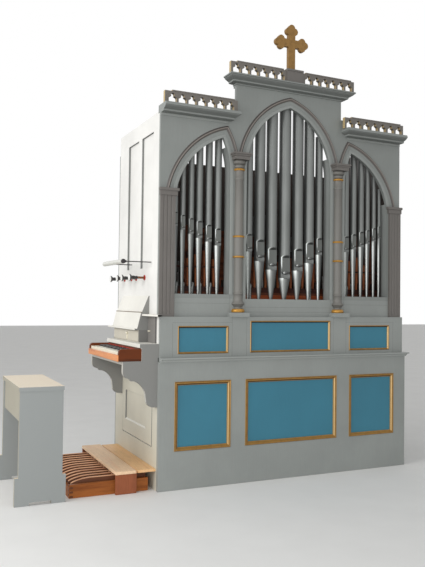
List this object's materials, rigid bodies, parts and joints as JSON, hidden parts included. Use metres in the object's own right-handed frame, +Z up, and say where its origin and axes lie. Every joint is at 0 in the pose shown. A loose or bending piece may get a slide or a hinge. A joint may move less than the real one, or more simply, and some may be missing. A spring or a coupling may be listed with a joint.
{
  "type": "church pipe organ with side console",
  "caption": "Church pipe organ: painted case with pointed arches, columns and flue pipes, a side console with keyboard, stops and lamp, bench and pedalboard.",
  "frame": {"origin": "on the floor under the middle of the lower front board, at half its thickness", "axes": "+X along the front to the right, +Y from the front to the back, +Z up; the console is at -X"},
  "size_m": [2.987, 1.014, 3.307],
  "materials": {
    "case_paint": "grey-green satin paint",
    "side_paint": "cream satin paint",
    "mauve_paint": "warm grey satin paint",
    "blue_paint": "blue satin paint",
    "gilt": "gold paint, semi-gloss",
    "pipe_tin": "dull tin-lead metal",
    "chest_wood": "brown stain",
    "console_paint": "pale grey satin paint",
    "mahogany": "polished",
    "ivory": "polished key covers",
    "ebony": "polished black",
    "felt": "red felt",
    "stop_black": "polished black, white face",
    "lamp_white": "white tube",
    "bench_paint": "grey-blue satin paint",
    "pedal_oak": "worn varnish",
    "pine": "clear varnish"
  },
  "bodies": {
    "case": {"lower_front": "case_paint", "lower_right_side": "case_paint", "back_boards": "case_paint", "waist_moulding": "case_paint", "band_board": "case_paint", "band_deck": "case_paint", "front_rail": "case_paint", "front_stiles": "case_paint", "front_arches": "case_paint", "opening_linings": "case_paint", "upper_right_side": "case_paint", "wing_cornices": "case_paint", "middle_cornice": "case_paint", "column_blocks": "case_paint", "lower_left_side": "side_paint", "side_hatch": "side_paint", "upper_left_side": "side_paint", "pilasters": "mauve_paint", "arch_mouldings": "mauve_paint", "columns": "mauve_paint", "column_capitals": "mauve_paint", "wing_balustrades": "mauve_paint", "middle_balustrade": "mauve_paint", "cross_pedestal": "mauve_paint", "blue_panels": "blue_paint", "gilt_frames": "gilt", "column_rings": "gilt", "cross": "gilt", "left_pipes": "pipe_tin", "middle_pipes": "pipe_tin", "right_pipes": "pipe_tin", "inner_metal_pipes": "pipe_tin", "toe_board": "chest_wood", "wind_chest": "chest_wood", "chest_beams": "chest_wood", "wooden_pipes": "chest_wood", "console_brackets": "console_paint", "console_shelf": "console_paint", "console_block": "console_paint", "console_cupboard": "console_paint", "music_desk": "console_paint", "near_music_rest": "console_paint", "keydesk": "mahogany", "white_keys_row": "ivory", "black_keys_row": "ebony", "stop_collars": "felt", "lamp": "lamp_white", "bench_seat": "bench_paint", "bench_ends": "bench_paint", "bench_apron": "bench_paint", "pedal_frame": "pedal_oak", "long_pedals_row": "pedal_oak", "short_pedals_row": "pedal_oak", "pedal_cover": "pine", "floor_board": "pine"},
    "stop_1_body": {"stop_1": "stop_black"},
    "stop_2_body": {"stop_2": "stop_black"},
    "stop_3_body": {"stop_3": "stop_black"},
    "stop_4_body": {"stop_4": "stop_black"}
  },
  "joints": [
    {"name": "stop_1_draw", "type": "slide", "parent": "case", "child": "stop_1_body", "axis": [-1, 0, 0], "range_m": [0, 0.03]},
    {"name": "stop_2_draw", "type": "slide", "parent": "case", "child": "stop_2_body", "axis": [-1, 0, 0], "range_m": [0, 0.03]},
    {"name": "stop_3_draw", "type": "slide", "parent": "case", "child": "stop_3_body", "axis": [-1, 0, 0], "range_m": [0, 0.03]},
    {"name": "stop_4_draw", "type": "slide", "parent": "case", "child": "stop_4_body", "axis": [-1, 0, 0], "range_m": [0, 0.03]}
  ]
}
